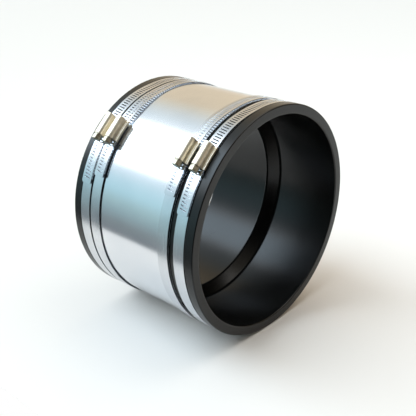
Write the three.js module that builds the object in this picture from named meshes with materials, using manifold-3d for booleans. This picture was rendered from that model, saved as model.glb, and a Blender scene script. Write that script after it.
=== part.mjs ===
// Shielded flexible pipe coupling: a moulded rubber sleeve with a rolled stainless shear ring round
// its middle and two worm-drive band clamps at each end. It joins a 219 mm pipe at +X to a slightly
// smaller one at -X. Millimetres, +Z up. The origin is the centre of the bore and the bore runs
// along X.
//
// Angles round the coupling are measured about +X from the top (+Z) towards -Y.
import * as THREE from "three";
import { mergeVertices } from "three/addons/utils/BufferGeometryUtils.js";
import Module from "manifold-3d";

const wasm = await Module();
wasm.setup();

// ---- Driving dimensions ----
const LENGTH = 165; // sleeve, end to end
const LIP_RADIUS = 120; // outside of the sleeve's two end lips
const BORE_RADIUS = 109.8; // the +X half takes a pipe of 219 mm outside diameter
const SMALL_BORE_RADIUS = 102.4; // the -X half, with the thicker wall, takes one of 204 mm
const STOP_RADIUS = 100.6; // crest of the pipe stop in the middle of the bore
const STOP_CREST_WIDTH = 2.2;
const STOP_START = -7; // X of the stop's steep side, which faces the smaller bore
const STOP_END = 7.6; // X where its cone meets the larger bore
const LIP_LENGTH = 10;
const CLAMP_SEAT_LENGTH = 14.6; // flat that carries an outer clamp, inboard of each lip
const GAP = 0.3; // between pieces that touch on the real coupling

const RING_THICKNESS = 0.35;
const RING_WIDTH = 109;
const RING_CENTRE = -3.1; // the ring sits nearer the -X clamps
const RING_LAP_ANGLE = 205; // where the ring's outer edge ends, low on the far side
const RING_LAP = 16; // degrees over which the ring's two ends overlap

const BAND_WIDTH = 12.7;
const BAND_THICKNESS = 0.7;
const SLOT_PITCH = 3.2;
const SLOT_LENGTH = 8;
const SLOT_WIDTH = 1.7;
const SLOT_SLANT = THREE.MathUtils.degToRad(8); // the worm's lead angle
const SLOTS_BEFORE_HOUSING = 3;

const HOUSING_ANGLE = 43.5; // all four housings lie in one row
const HOUSING_LENGTH = 24;
const SHEET = 0.65; // thickness of the housing's sheet metal
const WORM_RADIUS = 3.9; // over the thread
const WORM_THREAD_DEPTH = 0.9;
const JOURNAL_RADIUS = 2.7;
const JOURNAL_CLEARANCE = 0.06;
const JOURNAL_SIDES = 16;
const HEX_ACROSS_FLATS = 7.94;
const HEX_LENGTH = 4.6;

// Centre of each clamp along X, from the -X end, and the angle at which its free tail ends.
const CLAMPS = [
  { name: "clamp_1", x: -65.8, tailEnd: 72 },
  { name: "clamp_2", x: -50.6, tailEnd: 67 },
  { name: "clamp_3", x: 44.3, tailEnd: 64 },
  { name: "clamp_4", x: 65.0, tailEnd: 70 },
];

const STEP = 6; // degrees between the facets of every round piece
const FULL_TURN = 360;

// ---- Radii that follow, from the sleeve outwards ----
const RING_SEAT = 117.5;
const RING_INNER = RING_SEAT + GAP;
const RING_OUTER_LAP = RING_INNER + RING_THICKNESS + GAP;
const CLAMP_SEAT = RING_OUTER_LAP + RING_THICKNESS;
const BAND_INNER = CLAMP_SEAT + GAP;
const SADDLE_INNER = BAND_INNER + BAND_THICKNESS + GAP;
const TAIL_INNER = SADDLE_INNER + BAND_THICKNESS + GAP;
const TAIL_OUTER = TAIL_INNER + BAND_THICKNESS;
const FLANGE_UNDERSIDE = TAIL_OUTER + GAP;
const FLANGE_TOP = FLANGE_UNDERSIDE + SHEET;
const WORM_AXIS = TAIL_OUTER + GAP + WORM_RADIUS + 0.1;
const BARREL_INNER = WORM_RADIUS + GAP;
const BARREL_OUTER = BARREL_INNER + SHEET;
const HOUSING_INNER_HALF = BAND_WIDTH / 2 + GAP;
const HOUSING_OUTER_HALF = HOUSING_INNER_HALF + SHEET;

const radians = THREE.MathUtils.degToRad;
const steel = { metalness: 1 };
const RUBBER = new THREE.MeshStandardMaterial({ color: 0x1b1c1e, roughness: 0.62, metalness: 0 });
const RING_STEEL = new THREE.MeshStandardMaterial({ color: 0xd3d6da, roughness: 0.12, ...steel });
const BAND_STEEL = new THREE.MeshStandardMaterial({ color: 0xb9bdc3, roughness: 0.28, ...steel });
const HOUSING_STEEL = new THREE.MeshStandardMaterial({ color: 0xcfc8b8, roughness: 0.3, ...steel });
const SCREW_STEEL = new THREE.MeshStandardMaterial({ color: 0xc4bca9, roughness: 0.34, ...steel });

// ---- Geometry helpers ----

// A closed geometry as a manifold-3d solid, with its shared vertices merged.
function solidOf(geometry) {
  const bare = geometry.index ? geometry.toNonIndexed() : geometry.clone();
  bare.deleteAttribute("normal");
  bare.deleteAttribute("uv");
  const merged = mergeVertices(bare, 1e-4);
  const mesh = new wasm.Mesh({
    numProp: 3,
    vertProperties: merged.attributes.position.array,
    triVerts: new Uint32Array(merged.index.array),
  });
  return new wasm.Manifold(mesh);
}

function geometryOf(solid) {
  const mesh = solid.getMesh();
  const geometry = new THREE.BufferGeometry();
  geometry.setAttribute("position", new THREE.BufferAttribute(mesh.vertProperties, 3));
  geometry.setIndex(new THREE.BufferAttribute(mesh.triVerts, 1));
  geometry.computeVertexNormals();
  return geometry;
}

function namedMesh(name, geometry, material) {
  const mesh = new THREE.Mesh(geometry, material.clone());
  mesh.name = name;
  return mesh;
}

// A box given by its lowest and highest corners.
function boxBetween(low, high) {
  const box = new THREE.BoxGeometry(high[0] - low[0], high[1] - low[1], high[2] - low[2]);
  return box.translate((low[0] + high[0]) / 2, (low[1] + high[1]) / 2, (low[2] + high[2]) / 2);
}

// Revolves a closed [x, radius] profile about the X axis.
function revolveAboutX(profile, segments) {
  const points = profile.map(([x, radius]) => new THREE.Vector2(radius, x));
  points.push(points[0].clone());
  return new THREE.LatheGeometry(points, segments).rotateZ(-Math.PI / 2);
}

// A strip of sheet metal bent round the X axis: its inner radius is a function of the angle.
function wrappedStrip(fromAngle, toAngle, innerRadiusAt, thickness, width) {
  const count = Math.ceil((toAngle - fromAngle) / STEP);
  const at = (i, extra) => {
    const angle = fromAngle + ((toAngle - fromAngle) * i) / count;
    const radius = innerRadiusAt(angle) + extra;
    return new THREE.Vector2(-radius * Math.sin(radians(angle)), radius * Math.cos(radians(angle)));
  };
  const outline = [];
  for (let i = 0; i <= count; i++) outline.push(at(i, thickness));
  for (let i = count; i >= 0; i--) outline.push(at(i, 0));
  const strip = new THREE.ExtrudeGeometry(new THREE.Shape(outline), {
    depth: width,
    bevelEnabled: false,
  });
  const extrudedAlongX = new THREE.Matrix4().makeBasis(
    new THREE.Vector3(0, 1, 0),
    new THREE.Vector3(0, 0, 1),
    new THREE.Vector3(1, 0, 0),
  );
  return strip.applyMatrix4(extrudedAlongX).translate(-width / 2, 0, 0);
}

// Rises smoothly from 0 to 1 as the angle goes from start to end.
const rise = (angle, start, end) => THREE.MathUtils.smoothstep(angle, start, end);

// ---- Rubber sleeve ----
function rubberSleeve() {
  const end = LENGTH / 2;
  const edge = 1; // chamfer of the end lips
  const mouth = 1.5; // lead-in chamfer of the bore
  const farMouth = 0.4;
  const seat = end - LIP_LENGTH;
  const shoulder = seat - CLAMP_SEAT_LENGTH;
  const outsideHalf = [
    [end, LIP_RADIUS - edge],
    [end - edge, LIP_RADIUS],
    [seat, LIP_RADIUS],
    [seat, CLAMP_SEAT],
    [shoulder, CLAMP_SEAT],
    [shoulder, RING_SEAT],
  ];
  const outsideFarHalf = outsideHalf.map(([x, radius]) => [-x, radius]).reverse();
  const inside = [
    [-end, SMALL_BORE_RADIUS + farMouth],
    [farMouth - end, SMALL_BORE_RADIUS],
    [STOP_START, SMALL_BORE_RADIUS],
    [STOP_START, STOP_RADIUS + edge],
    [STOP_START + edge, STOP_RADIUS],
    [STOP_START + edge + STOP_CREST_WIDTH, STOP_RADIUS],
    [STOP_END, BORE_RADIUS],
    [end - mouth, BORE_RADIUS],
    [end, BORE_RADIUS + mouth],
  ];
  const profile = [...outsideHalf, ...outsideFarHalf, ...inside];
  return revolveAboutX(profile.reverse(), FULL_TURN / STEP);
}

// ---- Shear ring: one rolled sheet whose ends lap ----
function shearRing() {
  const end = RING_LAP_ANGLE + FULL_TURN;
  const start = RING_LAP_ANGLE - RING_LAP;
  const lift = RING_OUTER_LAP - RING_INNER;
  const innerAt = (angle) => RING_INNER + lift * rise(angle, end - RING_LAP - 30, end - RING_LAP - 4);
  return wrappedStrip(start, end, innerAt, RING_THICKNESS, RING_WIDTH);
}

// ---- One band clamp, built with its housing at the top (angle 0) and centred on X = 0 ----

// The band starts under the housing, goes once round, climbs over its own start, passes through the
// housing and ends as a free tail. Its outer layer is slotted for the worm.
function clampBand(tailEnd) {
  const start = -4;
  const climbStart = FULL_TURN - 36;
  const climbEnd = FULL_TURN - 14;
  const tail = FULL_TURN + tailEnd;
  const innerAt = (angle) =>
    BAND_INNER + (TAIL_INNER - BAND_INNER) * rise(angle, climbStart, climbEnd);
  const strip = wrappedStrip(start, tail, innerAt, BAND_THICKNESS, BAND_WIDTH);
  const slotAngle = THREE.MathUtils.radToDeg(SLOT_PITCH / TAIL_OUTER);
  const housingHalfAngle = THREE.MathUtils.radToDeg(HOUSING_LENGTH / 2 / TAIL_OUTER);
  const firstSlot = -Math.ceil(housingHalfAngle / slotAngle) - SLOTS_BEFORE_HOUSING;
  const lastSlot = Math.floor((tailEnd - 1.5) / slotAngle);
  let band = solidOf(strip);
  for (let i = firstSlot; i <= lastSlot; i++) {
    const angle = i * slotAngle;
    const height = innerAt(angle + FULL_TURN) + BAND_THICKNESS / 2;
    const cutter = new THREE.BoxGeometry(SLOT_LENGTH, SLOT_WIDTH, BAND_THICKNESS + 0.4);
    cutter.rotateZ(SLOT_SLANT).translate(0, 0, height).rotateX(radians(angle));
    band = band.subtract(solidOf(cutter));
  }
  // The free tail's corners are cropped.
  const crop = 3;
  for (const side of [-1, 1]) {
    const corner = new THREE.BoxGeometry(crop, crop, 3).rotateZ(Math.PI / 4);
    corner.translate((side * BAND_WIDTH) / 2, 0, TAIL_INNER).rotateX(radians(tailEnd));
    band = band.subtract(solidOf(corner));
  }
  return geometryOf(band);
}

// Lowers a straight piece's foot onto the round of the band and leaves its barrel straight.
function bendFootToBand(geometry) {
  const position = geometry.attributes.position;
  for (let i = 0; i < position.count; i++) {
    const y = position.getY(i);
    const z = position.getZ(i);
    const share = THREE.MathUtils.clamp((WORM_AXIS - z) / (WORM_AXIS - FLANGE_TOP), 0, 1);
    const drop = FLANGE_TOP - Math.sqrt(FLANGE_TOP ** 2 - y ** 2);
    position.setZ(i, z - drop * share);
  }
  return geometry;
}

// Where the saddle's tabs lock into the housing's side walls, along the band from its centre.
const TAB_PLACES = [-6.5, 6.5];
const TAB_LENGTH = 3;

// The housing: a hat-section pressing with a barrel over the worm, an end wall at each end that
// carries the screw's journals, and side walls that guide the band.
function clampHousing() {
  const wallFoot = LIP_RADIUS + 1.3 * GAP; // the outer housings overhang the lips
  const half = HOUSING_LENGTH / 2;
  const hat = new THREE.Shape();
  hat.moveTo(HOUSING_OUTER_HALF, wallFoot);
  hat.lineTo(HOUSING_OUTER_HALF, FLANGE_TOP - 0.5);
  hat.lineTo(HOUSING_OUTER_HALF - 0.5, FLANGE_TOP);
  hat.lineTo(BARREL_OUTER, FLANGE_TOP);
  hat.absarc(0, WORM_AXIS, BARREL_OUTER, 0, Math.PI, false);
  hat.lineTo(-BARREL_OUTER, FLANGE_TOP);
  hat.lineTo(-HOUSING_OUTER_HALF + 0.5, FLANGE_TOP);
  hat.lineTo(-HOUSING_OUTER_HALF, FLANGE_TOP - 0.5);
  hat.lineTo(-HOUSING_OUTER_HALF, wallFoot);
  hat.lineTo(-HOUSING_INNER_HALF, wallFoot);
  hat.lineTo(-HOUSING_INNER_HALF, FLANGE_UNDERSIDE);
  hat.lineTo(-BARREL_INNER, FLANGE_UNDERSIDE);
  hat.absarc(0, WORM_AXIS, BARREL_INNER, Math.PI, 0, true);
  hat.lineTo(BARREL_INNER, FLANGE_UNDERSIDE);
  hat.lineTo(HOUSING_INNER_HALF, FLANGE_UNDERSIDE);
  hat.lineTo(HOUSING_INNER_HALF, wallFoot);
  hat.closePath();
  const pressing = new THREE.ExtrudeGeometry(hat, {
    depth: HOUSING_LENGTH,
    bevelEnabled: false,
    steps: 3,
    curveSegments: 6,
  });
  pressing.rotateX(Math.PI / 2).translate(0, half, 0);
  let housing = solidOf(bendFootToBand(pressing));

  const wallThickness = 1.1;
  const wallRadius = (BARREL_INNER + BARREL_OUTER) / 2;
  const endWall = new THREE.Shape();
  endWall.moveTo(wallRadius, FLANGE_UNDERSIDE + 0.1);
  endWall.absarc(0, WORM_AXIS, wallRadius, 0, Math.PI, false);
  endWall.lineTo(-wallRadius, FLANGE_UNDERSIDE + 0.1);
  endWall.closePath();
  for (const y of [-half + wallThickness, half]) {
    const wall = new THREE.ExtrudeGeometry(endWall, {
      depth: wallThickness,
      bevelEnabled: false,
      curveSegments: 6,
    });
    housing = housing.add(solidOf(wall.rotateX(Math.PI / 2).translate(0, y, 0)));
  }
  const journalBore = JOURNAL_RADIUS + JOURNAL_CLEARANCE;
  const drill = new THREE.CylinderGeometry(journalBore, journalBore, HOUSING_LENGTH + 2, JOURNAL_SIDES);
  housing = housing.subtract(solidOf(drill.translate(0, 0, WORM_AXIS)));

  for (const place of TAB_PLACES) {
    const reach = TAB_LENGTH / 2 + GAP;
    const window = boxBetween(
      [-HOUSING_OUTER_HALF - 1, place - reach, wallFoot - 1],
      [HOUSING_OUTER_HALF + 1, place + reach, SADDLE_INNER + BAND_THICKNESS + GAP],
    );
    housing = housing.subtract(solidOf(window));
  }
  return geometryOf(housing);
}

// The saddle: a curved plate that the slotted tail slides on, with two tabs at each side that lock
// into the housing.
function clampSaddle() {
  const halfAngle = THREE.MathUtils.radToDeg(HOUSING_LENGTH / 2 / SADDLE_INNER);
  const plate = wrappedStrip(-halfAngle, halfAngle, () => SADDLE_INNER, BAND_THICKNESS, BAND_WIDTH);
  let saddle = solidOf(plate);
  const tabReach = HOUSING_OUTER_HALF - 0.05;
  for (const place of TAB_PLACES) {
    const tilt = place / SADDLE_INNER;
    const tab = new THREE.BoxGeometry(2 * tabReach, TAB_LENGTH, BAND_THICKNESS);
    tab.translate(0, 0, SADDLE_INNER + BAND_THICKNESS / 2).rotateX(tilt);
    saddle = saddle.add(solidOf(tab));
  }
  return geometryOf(saddle);
}

// The worm screw, its head towards -Y: a right-hand worm between two journals, then a washer face
// and a hexagon head with a slot.
function wormScrew() {
  const half = HOUSING_LENGTH / 2;
  const wormHalf = half - 1.1 - GAP;
  const turnsRound = 10;
  const stepsPerPitch = 3;
  const steps = Math.round((2 * wormHalf * stepsPerPitch) / SLOT_PITCH);
  const worm = new THREE.CylinderGeometry(1, 1, 2 * wormHalf, turnsRound, steps);
  const position = worm.attributes.position;
  for (let i = 0; i < position.count; i++) {
    const [x, y, z] = [position.getX(i), position.getY(i), position.getZ(i)];
    if (Math.hypot(x, z) < 0.5) continue;
    const phase = y / SLOT_PITCH - Math.atan2(x, z) / (2 * Math.PI);
    const thread = 0.5 + 0.5 * Math.cos(2 * Math.PI * phase);
    const radius = WORM_RADIUS - WORM_THREAD_DEPTH * (1 - thread);
    position.setX(i, x * radius);
    position.setZ(i, z * radius);
  }
  const headStart = half + GAP;
  const washer = 0.9;
  const shaft = [
    [0, half],
    [JOURNAL_RADIUS, half],
    [JOURNAL_RADIUS, -headStart - 0.1],
    [HEX_ACROSS_FLATS / 2 + 0.35, -headStart - 0.1],
    [HEX_ACROSS_FLATS / 2 + 0.35, -headStart - washer],
    [0, -headStart - washer],
  ];
  const core = new THREE.LatheGeometry(
    shaft.map(([radius, y]) => new THREE.Vector2(radius, y)).reverse(),
    JOURNAL_SIDES,
  );
  const hexRadius = HEX_ACROSS_FLATS / Math.sqrt(3);
  const hexEnd = headStart + washer + HEX_LENGTH;
  const hex = new THREE.CylinderGeometry(hexRadius, hexRadius, HEX_LENGTH + 0.2, 6);
  hex.translate(0, -hexEnd + (HEX_LENGTH + 0.2) / 2, 0);
  const slot = boxBetween([-hexRadius - 1, -hexEnd - 1, -0.6], [hexRadius + 1, -hexEnd + 1.8, 0.6]);
  slot.rotateY(radians(25));
  const screw = solidOf(worm).add(solidOf(core)).add(solidOf(hex)).subtract(solidOf(slot));
  return geometryOf(screw).translate(0, 0, WORM_AXIS);
}

function bandClamp({ name, x, tailEnd }) {
  const clamp = new THREE.Group();
  clamp.add(namedMesh(name + "_band", clampBand(tailEnd - HOUSING_ANGLE), BAND_STEEL));
  clamp.add(namedMesh(name + "_housing", clampHousing(), HOUSING_STEEL));
  clamp.add(namedMesh(name + "_saddle", clampSaddle(), HOUSING_STEEL));
  clamp.add(namedMesh(name + "_worm_screw", wormScrew(), SCREW_STEEL));
  clamp.position.x = x;
  clamp.rotation.x = radians(HOUSING_ANGLE);
  return clamp;
}

// ---- The assembly ----
const coupling = new THREE.Group();
coupling.add(namedMesh("rubber_sleeve", rubberSleeve(), RUBBER));
const ring = namedMesh("shear_ring", shearRing(), RING_STEEL);
ring.position.x = RING_CENTRE;
coupling.add(ring);
for (const clamp of CLAMPS) coupling.add(bandClamp(clamp));

export default coupling;
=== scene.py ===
import math

import bmesh
import bpy
from mathutils import Matrix, Vector


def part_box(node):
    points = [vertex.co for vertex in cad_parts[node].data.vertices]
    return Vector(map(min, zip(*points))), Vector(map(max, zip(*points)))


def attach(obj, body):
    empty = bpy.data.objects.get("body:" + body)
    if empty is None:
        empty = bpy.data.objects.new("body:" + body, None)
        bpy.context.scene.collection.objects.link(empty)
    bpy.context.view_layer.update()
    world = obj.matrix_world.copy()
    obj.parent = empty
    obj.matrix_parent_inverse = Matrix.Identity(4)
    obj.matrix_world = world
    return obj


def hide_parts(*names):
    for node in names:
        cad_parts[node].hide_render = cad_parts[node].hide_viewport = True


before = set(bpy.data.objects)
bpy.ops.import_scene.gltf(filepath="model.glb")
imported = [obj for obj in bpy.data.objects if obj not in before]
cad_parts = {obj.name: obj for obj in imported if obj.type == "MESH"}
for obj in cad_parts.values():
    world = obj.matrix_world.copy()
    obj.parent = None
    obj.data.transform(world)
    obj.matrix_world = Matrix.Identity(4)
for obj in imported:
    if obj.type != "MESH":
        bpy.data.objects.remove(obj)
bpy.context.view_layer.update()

# A shielded flexible pipe coupling: rubber sleeve, rolled shear ring and four worm-drive band clamps.
# Metres, with the origin at the centre of the bore and the bore along X. Angles round the coupling are
# measured about +X from the top (+Z) towards -Y.

MM = 0.001

# ---- Sizes, from the frame where it holds them ----
sleeve_low, sleeve_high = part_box("rubber_sleeve")
ring_low, ring_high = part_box("shear_ring")
HALF_LENGTH = sleeve_high.x
LIP_RADIUS = sleeve_high.z
BORE_RADIUS = 109.8 * MM
SMALL_BORE_RADIUS = 102.4 * MM
STOP_RADIUS = 100.6 * MM
STOP_START = -7 * MM
STOP_END = 7.6 * MM
STOP_CREST_WIDTH = 2.2 * MM
LIP_LENGTH = 10 * MM
CLAMP_SEAT_LENGTH = 14.6 * MM
RING_SEAT_RADIUS = 117.5 * MM

GAP = 0.3 * MM
RING_SHEET = 0.35 * MM
RING_INNER = RING_SEAT_RADIUS + GAP
RING_LAP_INNER = RING_INNER + RING_SHEET + GAP
RING_LAP_ANGLE = 205
RING_LAP = 16
CLAMP_SEAT_RADIUS = RING_LAP_INNER + RING_SHEET

BAND_WIDTH = 12.7 * MM
BAND_SHEET = 0.7 * MM
BAND_INNER = CLAMP_SEAT_RADIUS + GAP
SADDLE_INNER = BAND_INNER + BAND_SHEET + GAP
TAIL_INNER = SADDLE_INNER + BAND_SHEET + GAP
TAIL_OUTER = TAIL_INNER + BAND_SHEET
SLOT_PITCH = 3.2 * MM
SLOT_LENGTH = 8 * MM
SLOT_WIDTH = 1.2 * MM
SLOT_SLANT = math.radians(8)
SLOT_COUNT = 70

HOUSING_ANGLE = 43.5
HOUSING_LENGTH = 24 * MM
HOUSING_SHEET = 0.65 * MM
WORM_RADIUS = 3.9 * MM
WORM_ROOT = 2.95 * MM
WORM_AXIS = TAIL_OUTER + GAP + WORM_RADIUS + 0.1 * MM
BARREL_INNER = WORM_RADIUS + GAP
FLANGE_UNDERSIDE = TAIL_OUTER + GAP
FLANGE_TOP = FLANGE_UNDERSIDE + HOUSING_SHEET
HOUSING_HALF_WIDTH = BAND_WIDTH / 2 + GAP + HOUSING_SHEET
WALL_FOOT = LIP_RADIUS + 1.3 * GAP
TAB_PLACES = (-6.5 * MM, 6.5 * MM)
TAB_LENGTH = 3 * MM
JOURNAL_RADIUS = 2.7 * MM
HEX_ACROSS_FLATS = 7.94 * MM
HEX_LENGTH = 4.6 * MM
SCREW_SLOT_HALF_WIDTH = 0.6 * MM
SCREW_SLOT_DEPTH = 1.8 * MM
END_WALL_INSET = 0.8 * MM
END_WALL_SHEET = 0.9 * MM
SLOT_CORNER = 0.45 * MM
TAIL_CORNER = 2.2 * MM
SAME_PLACE = 1e-6  # vertices closer than this are one

# Each clamp's name and the angle at which its free tail ends.
CLAMP_TAILS = {"clamp_1": 72, "clamp_2": 67, "clamp_3": 64, "clamp_4": 70}


# ---- Mesh helpers ----
def finish_piece(name, bm, material, body, nodes, sharp=35):
    """Makes the mesh an object that rides on its body and stands for its CAD nodes."""
    mesh = bpy.data.meshes.new(name)
    bm.to_mesh(mesh)
    bm.free()
    mesh.shade_smooth()
    mesh.set_sharp_from_angle(angle=math.radians(sharp))
    mesh.materials.append(material)
    piece = bpy.data.objects.new(name, mesh)
    bpy.context.scene.collection.objects.link(piece)
    normals = piece.modifiers.new("even shading", "WEIGHTED_NORMAL")
    normals.keep_sharp = True
    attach(piece, body)
    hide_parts(*nodes)


def outline_face(points, rounding):
    """A face in the XZ plane with (x, z) corners; rounding gives some corners' numbers a radius."""
    bm = bmesh.new()
    corners = [bm.verts.new((x, 0, z)) for x, z in points]
    bm.faces.new(corners)
    for number, radius in rounding.items():
        bmesh.ops.bevel(
            bm, geom=[corners[number]], offset=radius, offset_type="OFFSET", segments=5, profile=0.5,
            affect="VERTICES", material=-1,
        )
    return bm


def soften(bm, offset, angle=50, segments=2):
    """Rounds every edge sharper than the angle."""
    sharp = [e for e in bm.edges if e.is_manifold and e.calc_face_angle(0) > math.radians(angle)]
    bmesh.ops.bevel(
        bm, geom=sharp, offset=offset, offset_type="OFFSET", segments=segments, profile=0.5,
        affect="EDGES", clamp_overlap=True, material=-1,
    )


def face_outwards(bm):
    """Turns one closed shell's faces outwards; the volume shows a shell that is inside out."""
    bmesh.ops.recalc_face_normals(bm, faces=bm.faces[:])
    if bm.calc_volume(signed=True) < 0:
        bmesh.ops.reverse_faces(bm, faces=bm.faces[:])


def thicken(bm, thickness):
    """Gives an open sheet its thickness, on the side its faces point away from."""
    bmesh.ops.solidify(bm, geom=bm.faces[:], thickness=thickness)
    face_outwards(bm)


def smooth_step(value, low, high):
    share = min(max((value - low) / (high - low), 0), 1)
    return share * share * (3 - 2 * share)


def roll_up(bm, start_angle, reference_radius, inner_at):
    """Rolls a flat strip round the X axis: its Y becomes the way round and its Z the way outwards."""
    for v in bm.verts:
        angle = start_angle + math.degrees(v.co.y / reference_radius)
        radius = inner_at(angle) + v.co.z
        v.co.y = -radius * math.sin(math.radians(angle))
        v.co.z = radius * math.cos(math.radians(angle))
    # Y runs the other way round, which mirrors the strip.
    bmesh.ops.reverse_faces(bm, faces=bm.faces[:])


def flat_strip(width, start, end, rows, columns=1):
    """A flat strip of quads, width across X, from start to end along Y."""
    bm = bmesh.new()
    bmesh.ops.create_grid(bm, x_segments=columns, y_segments=rows, size=0.5)
    bmesh.ops.scale(bm, vec=(width, end - start, 1), verts=bm.verts)
    bmesh.ops.translate(bm, vec=(0, (start + end) / 2, 0), verts=bm.verts)
    return bm


def join(bm, other):
    """Adds another bmesh's shells to this one."""
    spare = bpy.data.meshes.new("spare")
    other.to_mesh(spare)
    other.free()
    bm.from_mesh(spare)
    bpy.data.meshes.remove(spare)


def place_on_clamp(bm, x):
    """Moves a piece from the top of the coupling to its clamp's place."""
    turn = Matrix.Rotation(math.radians(HOUSING_ANGLE), 4, "X")
    bmesh.ops.transform(bm, matrix=Matrix.Translation((x, 0, 0)) @ turn, verts=bm.verts)


# ---- Materials ----
def linear(hex_colour):
    """An sRGB hex colour as linear red, green, blue and alpha."""
    channels = [int(hex_colour[i:i + 2], 16) / 255 for i in (1, 3, 5)]
    straight = [c / 12.92 if c <= 0.04045 else ((c + 0.055) / 1.055) ** 2.4 for c in channels]
    return (*straight, 1)


def add(tree, kind, inputs=None, stops=(), **settings):
    """Adds a node with its settings. inputs takes values, or the nodes and sockets to link from, and
    stops are the positions and colours of a colour ramp."""
    made = tree.nodes.new(kind)
    for name, value in settings.items():
        setattr(made, name, value)
    for socket, value in (inputs or {}).items():
        if isinstance(value, bpy.types.Node):
            value = value.outputs[0]
        if isinstance(value, bpy.types.NodeSocket):
            tree.links.new(value, made.inputs[socket])
        else:
            made.inputs[socket].default_value = value
    for number, (position, colour) in enumerate(stops):
        elements = made.color_ramp.elements
        element = elements[number] if number < 2 else elements.new(position)
        element.position = position
        element.color = linear(colour)
    return made


def new_material(name, **same_all_over):
    """A material, its node tree, its shader and Object coordinates. The rest sets the shader's sockets."""
    material = bpy.data.materials.new(name)
    material.use_nodes = True
    tree = material.node_tree
    shader = tree.nodes["Principled BSDF"]
    for socket, value in same_all_over.items():
        shader.inputs[socket.replace("_", " ")].default_value = value
    return material, tree, shader, add(tree, "ShaderNodeTexCoord").outputs["Object"]


def moulded_rubber():
    """Black EPDM, compression moulded: soot black under a soft gloss from the polished mould, with the
    slight cloudiness of its release agent and the fine grain of the rubber."""
    material, tree, shader, place = new_material("moulded black EPDM", IOR=1.52, Specular_IOR_Level=0.34)
    cloud = add(tree, "ShaderNodeTexNoise", {"Vector": place, "Scale": 30, "Detail": 4})
    colour = add(tree, "ShaderNodeValToRGB", {"Fac": cloud}, stops=[(0.3, "#060606"), (0.7, "#0b0b0a")])
    tree.links.new(colour.outputs[0], shader.inputs["Base Color"])
    gloss = add(tree, "ShaderNodeMapRange", {"Value": cloud, "To Min": 0.2, "To Max": 0.3})
    tree.links.new(gloss.outputs[0], shader.inputs["Roughness"])
    wave = add(tree, "ShaderNodeTexNoise", {"Vector": place, "Scale": 45, "Detail": 1})
    waved = add(tree, "ShaderNodeBump", {"Height": wave, "Distance": 0.15 * MM, "Strength": 0.4})
    # Grain of about 0.3 mm, coarser than the real one so that it shows.
    grain = add(tree, "ShaderNodeTexNoise", {"Vector": place, "Scale": 3000, "Detail": 2})
    bumps = {"Height": grain, "Distance": 0.02 * MM, "Strength": 0.5, "Normal": waved}
    tree.links.new(add(tree, "ShaderNodeBump", bumps).outputs[0], shader.inputs["Normal"])
    return material


def rolled_steel(name, colours, shine, wave_height, wave_scale):
    """Bright annealed stainless strip: rolling leaves fine lines along it, bending it round the coupling
    leaves shallow waves that bend its reflections, and hands leave faint dull smudges."""
    material, tree, shader, place = new_material(name, Metallic=1)
    # Lines about 0.4 mm apart across the strip that run on for some 30 mm.
    along = add(tree, "ShaderNodeMapping", {"Vector": place, "Scale": (2500, 35, 35)})
    lines = add(tree, "ShaderNodeTexNoise", {"Vector": along, "Scale": 1, "Detail": 3})
    smudges = add(tree, "ShaderNodeTexNoise", {"Vector": place, "Scale": 22, "Detail": 4})
    tint = add(tree, "ShaderNodeValToRGB", {"Fac": smudges}, stops=[(0.3, colours[0]), (0.75, colours[1])])
    tree.links.new(tint.outputs[0], shader.inputs["Base Color"])
    worn = add(tree, "ShaderNodeMath", {0: lines, 1: smudges}, operation="MULTIPLY")
    dull = add(tree, "ShaderNodeMapRange", {"Value": worn, "To Min": shine[0], "To Max": shine[1]})
    tree.links.new(dull.outputs[0], shader.inputs["Roughness"])
    wave = add(tree, "ShaderNodeTexNoise", {"Vector": place, "Scale": wave_scale, "Detail": 1})
    waved = add(tree, "ShaderNodeBump", {"Height": wave, "Distance": wave_height})
    scratches = {"Height": lines, "Distance": 0.003 * MM, "Strength": 0.6, "Normal": waved}
    tree.links.new(add(tree, "ShaderNodeBump", scratches).outputs[0], shader.inputs["Normal"])
    return material


def small_part_steel(name, colours, shine, cloud_scale):
    """Drawn or cold-headed steel, tumbled and plated: slightly clouded and softly dull, so that it
    reads warm beside the rolled strip."""
    material, tree, shader, place = new_material(name, Metallic=1)
    cloud = add(tree, "ShaderNodeTexNoise", {"Vector": place, "Scale": cloud_scale, "Detail": 4})
    tint = add(tree, "ShaderNodeValToRGB", {"Fac": cloud}, stops=[(0.3, colours[0]), (0.7, colours[1])])
    tree.links.new(tint.outputs[0], shader.inputs["Base Color"])
    dull = add(tree, "ShaderNodeMapRange", {"Value": cloud, "To Min": shine[0], "To Max": shine[1]})
    tree.links.new(dull.outputs[0], shader.inputs["Roughness"])
    dents = {"Height": cloud, "Distance": 0.02 * MM, "Strength": 0.5}
    tree.links.new(add(tree, "ShaderNodeBump", dents).outputs[0], shader.inputs["Normal"])
    return material


RUBBER = moulded_rubber()
RING_STEEL = rolled_steel(
    "bright annealed stainless sheet", ("#dcdfe4", "#e6e8eb"), (0.12, 0.26), 0.07 * MM, 16
)
BAND_STEEL = rolled_steel("bright stainless strip", ("#c6c9ce", "#dfe1e4"), (0.16, 0.4), 0.03 * MM, 60)
HOUSING_STEEL = small_part_steel("pressed stainless housing", ("#dccfb8", "#efe6d4"), (0.32, 0.46), 260)
SCREW_STEEL = small_part_steel("plated steel screw", ("#938b79", "#bdb5a2"), (0.26, 0.42), 420)


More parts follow.
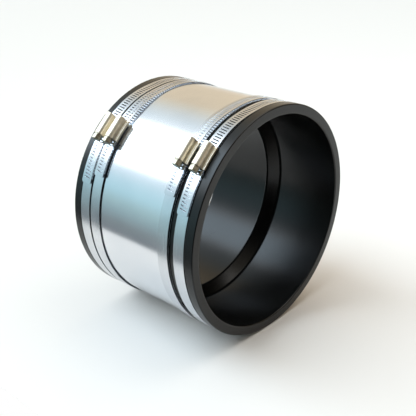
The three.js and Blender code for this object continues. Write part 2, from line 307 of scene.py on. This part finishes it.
# ---- Rubber sleeve ----
def make_sleeve():
    seat = HALF_LENGTH - LIP_LENGTH
    shoulder = seat - CLAMP_SEAT_LENGTH
    outside = [
        (HALF_LENGTH, LIP_RADIUS, 1.3 * MM),
        (seat, LIP_RADIUS, 0.6 * MM),
        (seat, CLAMP_SEAT_RADIUS, 0.4 * MM),
        (shoulder, CLAMP_SEAT_RADIUS, 0.5 * MM),
        (shoulder, RING_SEAT_RADIUS, 0.3 * MM),
    ]
    far_outside = [(-x, radius, corner) for x, radius, corner in reversed(outside)]
    inside = [
        (-HALF_LENGTH, SMALL_BORE_RADIUS, 0.4 * MM),
        (STOP_START, SMALL_BORE_RADIUS, 0.8 * MM),
        (STOP_START, STOP_RADIUS, 0.9 * MM),
        (STOP_START + STOP_CREST_WIDTH, STOP_RADIUS, 1.6 * MM),
        (STOP_END, BORE_RADIUS, 2.0 * MM),
        (HALF_LENGTH, BORE_RADIUS, 1.6 * MM),
    ]
    corners = outside + far_outside + inside
    bm = outline_face([c[:2] for c in corners], {i: c[2] for i, c in enumerate(corners)})
    bmesh.ops.delete(bm, geom=bm.faces[:], context="FACES_ONLY")
    bmesh.ops.spin(
        bm, geom=bm.verts[:] + bm.edges[:], cent=(0, 0, 0), axis=(1, 0, 0), angle=2 * math.pi,
        steps=240, use_merge=True,
    )
    bmesh.ops.remove_doubles(bm, verts=bm.verts, dist=SAME_PLACE)
    face_outwards(bm)
    finish_piece("sleeve", bm, RUBBER, "sleeve", ["rubber_sleeve"])


# ---- Shear ring ----
def make_ring():
    width = ring_high.x - ring_low.x
    centre = (ring_high.x + ring_low.x) / 2
    start = RING_LAP_ANGLE - RING_LAP
    end = RING_LAP_ANGLE + 360
    length = math.radians(end - start) * RING_INNER
    bm = flat_strip(width, 0, length, rows=300, columns=12)
    thicken(bm, RING_SHEET)
    low = min(v.co.z for v in bm.verts)
    bmesh.ops.translate(bm, vec=(0, 0, -low), verts=bm.verts)
    soften(bm, 0.1 * MM)

    def inner_at(angle):
        lift = smooth_step(angle, end - RING_LAP - 30, end - RING_LAP - 4)
        return RING_INNER + (RING_LAP_INNER - RING_INNER) * lift

    roll_up(bm, start, RING_INNER, inner_at)
    bmesh.ops.translate(bm, vec=(centre, 0, 0), verts=bm.verts)
    finish_piece("rolled_ring", bm, RING_STEEL, "ring", ["shear_ring"])


# ---- Band clamps ----
def slotted_stretch(first, last):
    """The slotted end of a band, flat: rows of slot and bridge, with each slot's corners rounded."""
    count = last - first + 1
    start = (first - 0.5) * SLOT_PITCH
    end = (last + 0.5) * SLOT_PITCH
    bm = flat_strip(BAND_WIDTH, start, end, rows=3 * count, columns=3)
    half_slot = SLOT_LENGTH / 2
    bridge = (SLOT_PITCH - SLOT_WIDTH) / 2
    for v in bm.verts:
        row = round((v.co.y - start) / SLOT_PITCH * 3)
        if 0 < row < 3 * count and row % 3:
            v.co.y = start + row // 3 * SLOT_PITCH + (bridge if row % 3 == 1 else SLOT_PITCH - bridge)
        if abs(v.co.x) < BAND_WIDTH / 4:
            v.co.x = math.copysign(half_slot, v.co.x)
        if 0 < row < 3 * count:
            v.co.y += v.co.x * math.tan(SLOT_SLANT)
    slots = []
    for f in bm.faces:
        middle = f.calc_center_median()
        phase = (middle.y - start) / SLOT_PITCH % 1
        if abs(middle.x) < 1e-6 and abs(phase - 0.5) < 0.2:
            slots.append(f)
    corners = list({v for f in slots for v in f.verts})
    bmesh.ops.delete(bm, geom=slots, context="FACES")
    bmesh.ops.bevel(
        bm, geom=corners, offset=SLOT_CORNER, offset_type="OFFSET", segments=2, profile=0.5,
        affect="VERTICES", clamp_overlap=True, material=-1,
    )
    return bm


def make_band(name, x, tail_end):
    start_angle = -4
    radius = TAIL_OUTER
    tail = math.radians(tail_end) * radius
    last = math.floor((tail - 3 * MM) / SLOT_PITCH)
    first = last - SLOT_COUNT + 1
    bm = slotted_stretch(first, last)
    slots_start = (first - 0.5) * SLOT_PITCH
    slots_end = (last + 0.5) * SLOT_PITCH
    plain_start = -math.radians(360 - start_angle) * radius
    plain_rows = round((slots_start - plain_start) / (3 * MM))
    join(bm, flat_strip(BAND_WIDTH, plain_start, slots_start, plain_rows, columns=3))
    join(bm, flat_strip(BAND_WIDTH, slots_end, tail, 1, columns=3))
    for v in bm.verts:
        on_seam = v.co.y < slots_start + 1e-6 or v.co.y > slots_end - 1e-6
        if on_seam and abs(v.co.x) < BAND_WIDTH / 3:
            v.co.x = math.copysign(SLOT_LENGTH / 2, v.co.x)
    bmesh.ops.remove_doubles(bm, verts=bm.verts, dist=SAME_PLACE)
    tips = [v for v in bm.verts if v.co.y > tail - 1e-6 and abs(v.co.x) > BAND_WIDTH / 2 - 1e-6]
    bmesh.ops.bevel(
        bm, geom=tips, offset=TAIL_CORNER, offset_type="OFFSET", segments=4, profile=0.5,
        affect="VERTICES", clamp_overlap=True, material=-1,
    )
    bmesh.ops.recalc_face_normals(bm, faces=bm.faces[:])
    thicken(bm, BAND_SHEET)
    low = min(v.co.z for v in bm.verts)
    bmesh.ops.translate(bm, vec=(0, 0, -low), verts=bm.verts)
    soften(bm, 0.11 * MM, segments=2)

    def inner_at(angle):
        lift = smooth_step(angle, -36, -14)
        return BAND_INNER + (TAIL_INNER - BAND_INNER) * lift

    roll_up(bm, 0, radius, inner_at)
    place_on_clamp(bm, x)
    nodes = [name + "_band"]
    finish_piece(name + "_strip", bm, BAND_STEEL, name + "_strap", nodes)


def bend_foot(bm):
    """Lowers a straight piece's foot onto the round of the band and leaves its barrel straight."""
    for v in bm.verts:
        share = min(max((WORM_AXIS - v.co.z) / (WORM_AXIS - FLANGE_TOP), 0), 1)
        v.co.z -= share * (FLANGE_TOP - math.sqrt(FLANGE_TOP ** 2 - v.co.y ** 2))


def make_housing(name, x):
    """Hat-section pressing: side walls, flanges and a barrel over the worm, with a wall at each end."""
    half = HOUSING_LENGTH / 2
    side = HOUSING_HALF_WIDTH
    barrel = BARREL_INNER + HOUSING_SHEET
    arc_steps = 24
    points = [(side, WALL_FOOT), (side, FLANGE_TOP), (barrel, FLANGE_TOP), (barrel, WORM_AXIS)]
    for i in range(1, arc_steps):
        angle = math.pi * i / arc_steps
        points.append((barrel * math.cos(angle), WORM_AXIS + barrel * math.sin(angle)))
    points += [(-barrel, WORM_AXIS), (-barrel, FLANGE_TOP), (-side, FLANGE_TOP), (-side, WALL_FOOT)]
    last = len(points) - 1
    rounding = {1: 0.8 * MM, 2: 0.7 * MM, last - 2: 0.7 * MM, last - 1: 0.8 * MM}
    bm = outline_face(points, rounding)
    foot = [e for e in bm.edges if all(abs(v.co.z - WALL_FOOT) < 1e-7 for v in e.verts)]
    bmesh.ops.delete(bm, geom=bm.faces[:], context="FACES_ONLY")
    bmesh.ops.delete(bm, geom=foot, context="EDGES")
    swept = bmesh.ops.extrude_edge_only(bm, edges=bm.edges[:])["geom"]
    moved = [g for g in swept if isinstance(g, bmesh.types.BMVert)]
    bmesh.ops.translate(bm, vec=(0, HOUSING_LENGTH, 0), verts=moved)
    bmesh.ops.translate(bm, vec=(0, -half, 0), verts=bm.verts)
    window_half = TAB_LENGTH / 2 + GAP
    cuts = [place + reach for place in TAB_PLACES for reach in (-window_half, window_half)]
    for y in cuts + [0, -half / 1.2, half / 1.2]:
        geom = bm.verts[:] + bm.edges[:] + bm.faces[:]
        bmesh.ops.bisect_plane(bm, geom=geom, dist=1e-7, plane_co=(0, y, 0), plane_no=(0, 1, 0))
    window_top = SADDLE_INNER + BAND_SHEET + GAP
    geom = bm.verts[:] + bm.edges[:] + bm.faces[:]
    bmesh.ops.bisect_plane(bm, geom=geom, dist=1e-7, plane_co=(0, 0, window_top), plane_no=(0, 0, 1))
    windows = []
    for f in bm.faces:
        middle = f.calc_center_median()
        if middle.z < window_top and any(abs(middle.y - place) < TAB_LENGTH / 2 for place in TAB_PLACES):
            windows.append(f)
    bmesh.ops.delete(bm, geom=windows, context="FACES")
    bmesh.ops.recalc_face_normals(bm, faces=bm.faces[:])
    top = max(bm.faces, key=lambda f: f.calc_center_median().z)
    if top.normal.z < 0:
        bmesh.ops.reverse_faces(bm, faces=bm.faces[:])
    thicken(bm, HOUSING_SHEET)
    soften(bm, 0.12 * MM)
    bend_foot(bm)
    for y in (-half + END_WALL_INSET, half - END_WALL_INSET):
        wall = bmesh.new()
        bmesh.ops.create_circle(wall, segments=48, radius=BARREL_INNER + 0.1 * MM, cap_ends=True)
        bmesh.ops.inset_region(
            wall, faces=wall.faces[:], thickness=BARREL_INNER - JOURNAL_RADIUS - 0.06 * MM,
            use_boundary=True, use_even_offset=True,
        )
        middle = min(wall.faces, key=lambda f: f.calc_center_median().length)
        bmesh.ops.delete(wall, geom=[middle], context="FACES")
        thicken(wall, END_WALL_SHEET)
        upright = Matrix.Rotation(math.pi / 2, 3, "X")
        bmesh.ops.rotate(wall, cent=(0, 0, 0), matrix=upright, verts=wall.verts)
        soften(wall, 0.12 * MM)
        bmesh.ops.translate(wall, vec=(0, y, WORM_AXIS), verts=wall.verts)
        join(bm, wall)
    place_on_clamp(bm, x)
    finish_piece(name + "_cover", bm, HOUSING_STEEL, name, [name + "_housing"])


def make_saddle(name, x):
    """Curved plate that the tail slides on, with tabs that lock into the housing."""
    half = HOUSING_LENGTH / 2
    bm = flat_strip(BAND_WIDTH, -half, half, rows=16)
    thicken(bm, BAND_SHEET)
    low = min(v.co.z for v in bm.verts)
    bmesh.ops.translate(bm, vec=(0, 0, -low), verts=bm.verts)
    soften(bm, 0.12 * MM)
    for place in TAB_PLACES:
        tab = bmesh.new()
        bmesh.ops.create_cube(tab, size=1)
        reach = 2 * HOUSING_HALF_WIDTH - 0.1 * MM
        bmesh.ops.scale(tab, vec=(reach, TAB_LENGTH, BAND_SHEET - 0.04 * MM), verts=tab.verts)
        bmesh.ops.translate(tab, vec=(0, place, BAND_SHEET / 2), verts=tab.verts)
        soften(tab, 0.1 * MM)
        join(bm, tab)
    roll_up(bm, 0, SADDLE_INNER, lambda angle: SADDLE_INNER)
    place_on_clamp(bm, x)
    finish_piece(name + "_tray", bm, HOUSING_STEEL, name, [name + "_saddle"])


def worm_thread():
    """A right-hand thread about Y: one pitch of its profile is swept round and along."""
    half = HOUSING_LENGTH / 2 - 1.9 * MM
    turns = math.floor(2 * half / SLOT_PITCH) - 1
    steps = 32
    bm = bmesh.new()
    profile = [
        (WORM_ROOT, 0), (WORM_ROOT, 0.3), (WORM_RADIUS, 0.43), (WORM_RADIUS, 0.63), (WORM_ROOT, 0.76),
        (WORM_ROOT, 1),
    ]
    points = [bm.verts.new((radius, share * SLOT_PITCH, 0)) for radius, share in profile]
    for a, b in zip(points, points[1:]):
        bm.edges.new((a, b))
    bmesh.ops.spin(
        bm, geom=bm.verts[:] + bm.edges[:], cent=(0, 0, 0), axis=(0, 1, 0), angle=2 * math.pi * turns,
        dvec=(0, SLOT_PITCH / steps, 0), steps=steps * turns,
    )
    bmesh.ops.remove_doubles(bm, verts=bm.verts, dist=SAME_PLACE)
    bmesh.ops.holes_fill(bm, edges=bm.edges[:], sides=0)
    face_outwards(bm)
    bmesh.ops.translate(bm, vec=(0, -half + SLOT_PITCH / 2, 0), verts=bm.verts)
    return bm


def turned(radius, start, end, segments=48, rounding=0.12 * MM):
    """A plain cylinder along Y from start to end."""
    bm = bmesh.new()
    bmesh.ops.create_cone(
        bm, cap_ends=True, segments=segments, radius1=radius, radius2=radius, depth=end - start
    )
    bmesh.ops.rotate(bm, cent=(0, 0, 0), matrix=Matrix.Rotation(math.pi / 2, 3, "X"), verts=bm.verts)
    bmesh.ops.translate(bm, vec=(0, (start + end) / 2, 0), verts=bm.verts)
    soften(bm, rounding)
    return bm


def slotted_hexagon(start, end):
    """The hexagon head, its corners chamfered, with a screwdriver slot across its face."""
    bm = turned(HEX_ACROSS_FLATS / math.sqrt(3), start, end, segments=6, rounding=0.25 * MM)
    for side in (-1, 1):
        geom = bm.verts[:] + bm.edges[:] + bm.faces[:]
        bmesh.ops.bisect_plane(
            bm, geom=geom, dist=1e-7, plane_co=(0, 0, side * SCREW_SLOT_HALF_WIDTH), plane_no=(0, 0, 1)
        )
    floor = start + SCREW_SLOT_DEPTH
    geom = bm.verts[:] + bm.edges[:] + bm.faces[:]
    bmesh.ops.bisect_plane(bm, geom=geom, dist=1e-7, plane_co=(0, floor, 0), plane_no=(0, 1, 0))
    cut = []
    for f in bm.faces:
        middle = f.calc_center_median()
        if abs(middle.z) < SCREW_SLOT_HALF_WIDTH and middle.y < floor:
            cut.append(f)
    bmesh.ops.delete(bm, geom=cut, context="FACES")
    rim = [e for e in bm.edges if e.is_boundary]
    bmesh.ops.holes_fill(bm, edges=rim, sides=0)
    bmesh.ops.triangulate(bm, faces=[f for f in bm.faces if len(f.verts) > 8])
    face_outwards(bm)
    bmesh.ops.rotate(
        bm, cent=(0, 0, 0), matrix=Matrix.Rotation(math.radians(25), 3, "Y"), verts=bm.verts
    )
    return bm


def make_screw(name, x):
    half = HOUSING_LENGTH / 2
    head_start = half + GAP + 0.1 * MM
    washer = 0.9 * MM
    hex_end = head_start + washer + HEX_LENGTH
    bm = worm_thread()
    join(bm, turned(JOURNAL_RADIUS, -head_start - 0.2 * MM, half - 0.3 * MM))
    join(bm, turned(HEX_ACROSS_FLATS / 2 + 0.35 * MM, -head_start - washer, -head_start))
    join(bm, slotted_hexagon(-hex_end, -head_start - washer + 0.1 * MM))
    bmesh.ops.translate(bm, vec=(0, 0, WORM_AXIS), verts=bm.verts)
    place_on_clamp(bm, x)
    nodes = [name + "_worm_screw"]
    finish_piece(name + "_hex_screw", bm, SCREW_STEEL, name + "_screw", nodes)


make_sleeve()
make_ring()
for clamp, tail_angle in CLAMP_TAILS.items():
    band_low, band_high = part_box(clamp + "_band")
    clamp_x = (band_low.x + band_high.x) / 2
    make_band(clamp, clamp_x, tail_angle - HOUSING_ANGLE)
    make_housing(clamp, clamp_x)
    make_saddle(clamp, clamp_x)
    make_screw(clamp, clamp_x)


# ---- Floor, light and camera ----
FLOOR_FRONT = -0.251
FLOOR_BACK = 3.0
CAMERA_PLACE = Vector((3.236, -4.406, 2.568))  # from the middle of the near end, in lip radii
CAMERA_AIM = Vector((-0.6120, 0.6773, -0.4083))


def make_floor():
    """A pale board under the coupling. Its front edge shows in the steel as a line low on the ring."""
    bm = bmesh.new()
    bmesh.ops.create_grid(bm, x_segments=1, y_segments=1, size=0.5)
    width = FLOOR_BACK - FLOOR_FRONT
    bmesh.ops.scale(bm, vec=(2 * FLOOR_BACK, width, 1), verts=bm.verts)
    middle = (FLOOR_FRONT + FLOOR_BACK) / 2
    bmesh.ops.translate(bm, vec=(0, middle, -LIP_RADIUS - 0.1 * MM), verts=bm.verts)
    mesh = bpy.data.meshes.new("floor")
    bm.to_mesh(mesh)
    bm.free()
    mesh.materials.append(new_material("pale board", Base_Color=linear("#e4ded8"), Roughness=0.9)[0])
    board = bpy.data.objects.new("floor", mesh)
    bpy.context.scene.collection.objects.link(board)


def by_degrees(*degrees_and_colours):
    """The stops of a colour ramp that goes once round from -180 degrees."""
    return [((degrees + 180) / 360, colour) for degrees, colour in degrees_and_colours]


def make_world():
    """A tent of soft light round the coupling's axis. Towards -X, which the steel reflects: a warm wall
    behind, a strong white panel above the front, and pale blue falling to grey lower down. Towards +X
    it is dark at the front, where the room is unlit."""
    world = bpy.data.worlds.new("studio")
    bpy.context.scene.world = world
    world.use_nodes = True
    tree = world.node_tree
    way = add(tree, "ShaderNodeTexCoord").outputs["Generated"]
    axes = add(tree, "ShaderNodeSeparateXYZ", {"Vector": way}).outputs
    forward = add(tree, "ShaderNodeMath", {0: axes["Y"], 1: -1.0}, operation="MULTIPLY")
    angle = add(tree, "ShaderNodeMath", {0: forward, 1: axes["Z"]}, operation="ARCTAN2")
    turns = {"Value": angle, "From Min": -math.pi, "From Max": math.pi}
    share = add(tree, "ShaderNodeMapRange", turns)
    left_stops = by_degrees(
        (-180, "#8f8f92"), (-110, "#a39a8f"), (-90, "#f3e8d7"), (-78, "#eddbbe"), (-38, "#eddbbe"),
        (-28, "#eae4d2"), (-17, "#e8efee"), (-6, "#ebf9ff"), (10, "#ffffff"), (50, "#ffffff"),
        (60, "#e4f6ff"), (71, "#d0f3ff"), (83, "#c1ebf6"), (94, "#b0d0d5"), (105, "#9eb8bd"),
        (116, "#8f9b9e"), (127, "#848c91"), (180, "#8f8f92"),
    )
    right_stops = by_degrees(
        (-180, "#8c8c8e"), (-110, "#7d766e"), (-60, "#b3a893"), (-20, "#d8cdb8"), (0, "#bdb7ab"),
        (20, "#5f5e5b"), (40, "#141619"), (115, "#121416"), (145, "#5b5e62"), (180, "#8c8c8e"),
    )
    panel_stops = by_degrees(
        (-10, "#000000"), (2, "#303030"), (16, "#ffffff"), (42, "#ffffff"), (58, "#303030"),
        (70, "#000000"),
    )
    left = add(tree, "ShaderNodeValToRGB", {"Fac": share}, stops=left_stops)
    right = add(tree, "ShaderNodeValToRGB", {"Fac": share}, stops=right_stops)
    panel = add(tree, "ShaderNodeValToRGB", {"Fac": share}, stops=panel_stops)
    side = add(tree, "ShaderNodeMapRange", {"Value": axes["X"], "From Min": -0.1, "From Max": 0.3})
    sky = add(tree, "ShaderNodeMixRGB", {"Fac": side, "Color1": left, "Color2": right})
    outside = add(tree, "ShaderNodeMath", {0: 1.0, 1: side}, operation="SUBTRACT")
    shown = add(tree, "ShaderNodeMath", {0: panel, 1: outside}, operation="MULTIPLY")
    power = add(tree, "ShaderNodeMath", {0: shown, 1: 4.5, 2: 1.0}, operation="MULTIPLY_ADD")
    tinted = add(tree, "ShaderNodeMixRGB", {"Fac": shown, "Color1": sky, "Color2": linear("#dcf0ff")})
    lit = add(tree, "ShaderNodeBackground", {"Color": tinted, "Strength": power})
    plain = add(tree, "ShaderNodeBackground", {"Color": (1, 1, 1, 1), "Strength": 1.0})
    seen = add(tree, "ShaderNodeLightPath").outputs["Is Camera Ray"]
    mix = add(tree, "ShaderNodeMixShader", {0: seen, 1: lit, 2: plain})
    tree.links.new(mix.outputs[0], tree.nodes["World Output"].inputs["Surface"])


def make_overhead_light():
    light = bpy.data.lights.new("overhead", "AREA")
    light.shape = "RECTANGLE"
    light.size = 1.0
    light.size_y = 1.0
    light.energy = 6
    lamp = bpy.data.objects.new("overhead", light)
    lamp.location = (0.3, 0.5, 1.4)
    lamp.rotation_euler = (-lamp.location).to_track_quat("-Z", "Y").to_euler()
    bpy.context.scene.collection.objects.link(lamp)


def make_camera():
    camera = bpy.data.cameras.new("camera")
    camera.sensor_width = 36
    camera.lens = 62.55
    eye = bpy.data.objects.new("camera", camera)
    rim = Vector((HALF_LENGTH, 0, 0))
    eye.location = rim + LIP_RADIUS * CAMERA_PLACE
    eye.rotation_euler = CAMERA_AIM.to_track_quat("-Z", "Y").to_euler()
    bpy.context.scene.collection.objects.link(eye)
    bpy.context.scene.camera = eye


make_floor()
make_world()
make_overhead_light()
make_camera()
bpy.context.scene.view_settings.view_transform = "Standard"
